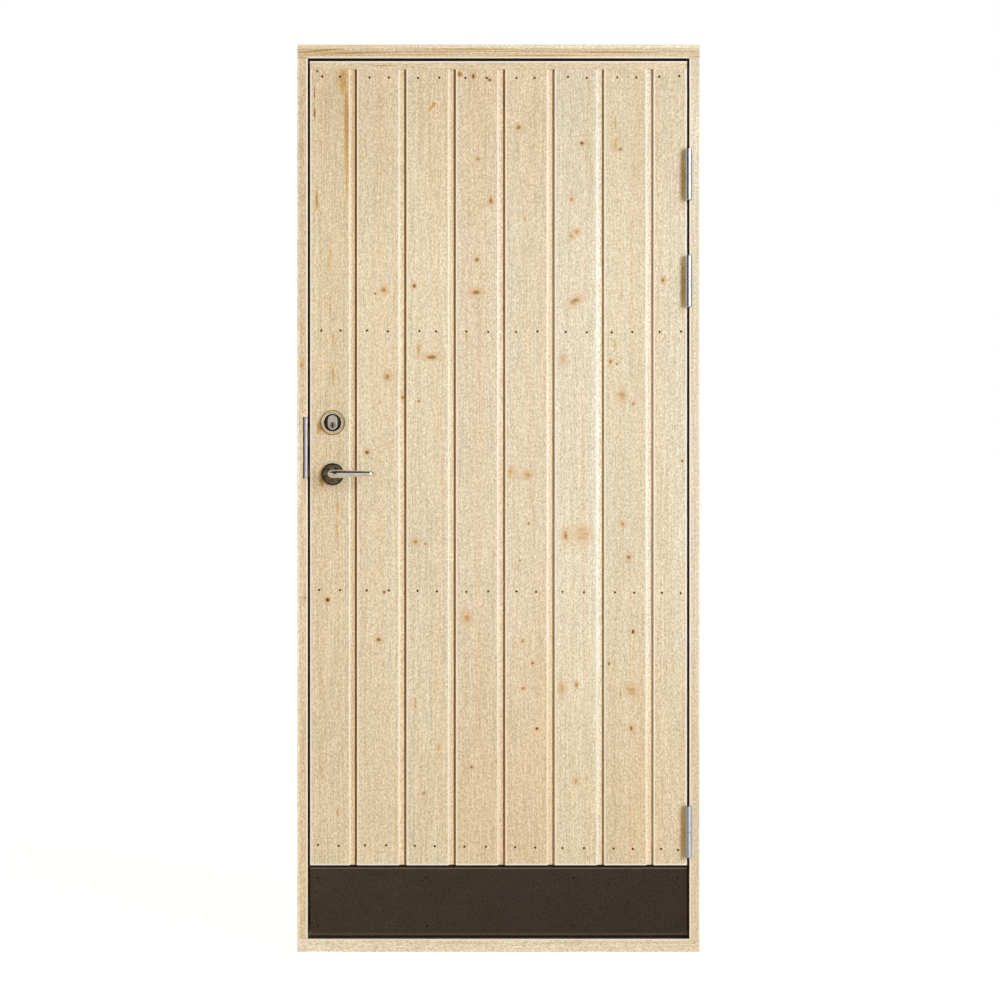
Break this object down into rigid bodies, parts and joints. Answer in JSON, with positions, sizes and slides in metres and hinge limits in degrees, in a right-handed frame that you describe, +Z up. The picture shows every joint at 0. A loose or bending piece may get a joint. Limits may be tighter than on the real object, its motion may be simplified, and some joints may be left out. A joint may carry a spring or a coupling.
{
  "type": "shed door",
  "caption": "Boarded outward-opening shed door in a rebated pine frame, with a sheet-metal kick plate, lift-off hinges, oval lock cylinder and lever handles.",
  "frame": {"origin": "middle of the threshold's underside, half-way through the frame's depth", "axes": "+X along the threshold from the lock side to the hinge side, +Y from the weather side to the room side, +Z up"},
  "size_m": [0.882, 0.1676, 1.99],
  "materials": {
    "threshold_pine": "matte",
    "frame_head_pine": "matte",
    "lock_jamb_pine": "matte",
    "hinge_jamb_pine": "matte",
    "board_1_pine": "matte",
    "board_2_pine": "matte",
    "board_3_pine": "matte",
    "board_4_pine": "matte",
    "board_5_pine": "matte",
    "board_6_pine": "matte",
    "board_7_pine": "matte",
    "board_8_pine": "matte",
    "top_strip_pine": "matte",
    "lock_stile_pine": "matte",
    "hinge_stile_pine": "matte",
    "top_rail_pine": "matte",
    "upper_mid_rail_pine": "matte",
    "lower_mid_rail_pine": "matte",
    "bottom_rail_pine": "matte",
    "kick_plate_brown": "satin",
    "hinge_zinc": "satin",
    "strike_zinc": "satin",
    "lock_case_zinc": "satin",
    "ring_nickel": "satin",
    "cylinder_nickel": "satin",
    "rosette_steel": "satin",
    "lever_steel": "satin",
    "spindle_zinc": "satin",
    "seal_rubber": "matte"
  },
  "bodies": {
    "frame": {"threshold": "threshold_pine", "frame_head": "frame_head_pine", "lock_jamb": "lock_jamb_pine", "hinge_jamb": "hinge_jamb_pine", "strike_plate": "strike_zinc", "seal_threshold": "seal_rubber", "seal_head": "seal_rubber", "seal_lock_side": "seal_rubber", "seal_hinge_side": "seal_rubber", "hinge_frame_half_low": "hinge_zinc", "hinge_frame_half_mid": "hinge_zinc", "hinge_frame_half_top": "hinge_zinc"},
    "leaf": {"board_1": "board_1_pine", "board_2": "board_2_pine", "board_3": "board_3_pine", "board_4": "board_4_pine", "board_5": "board_5_pine", "board_6": "board_6_pine", "board_7": "board_7_pine", "board_8": "board_8_pine", "top_strip": "top_strip_pine", "lock_stile": "lock_stile_pine", "hinge_stile": "hinge_stile_pine", "top_rail": "top_rail_pine", "upper_mid_rail": "upper_mid_rail_pine", "lower_mid_rail": "lower_mid_rail_pine", "bottom_rail": "bottom_rail_pine", "kick_plate": "kick_plate_brown", "hinge_leaf_half_low": "hinge_zinc", "hinge_leaf_half_mid": "hinge_zinc", "hinge_leaf_half_top": "hinge_zinc", "lock_case": "lock_case_zinc", "ring_outer": "ring_nickel", "cylinder_outer": "cylinder_nickel", "rosette_outer": "rosette_steel", "ring_inner": "ring_nickel", "cylinder_inner": "cylinder_nickel", "rosette_inner": "rosette_steel", "thumb_turn": "cylinder_nickel"},
    "lever": {"lever_outer": "lever_steel", "lever_inner": "lever_steel", "lever_spindle": "spindle_zinc"}
  },
  "joints": [
    {"name": "leaf_swing", "type": "hinge", "parent": "frame", "child": "leaf", "pos_m": [0.416, -0.054, 0.995], "axis": [0, 0, 1], "range_deg": [0, 170]},
    {"name": "lever_turn", "type": "hinge", "parent": "leaf", "child": "lever", "pos_m": [-0.3634, -0.02, 1.048], "axis": [0, 1, 0], "range_deg": [0, 45], "stiffness_Nm_per_rad": 1.2, "springref_deg": -20.05}
  ]
}
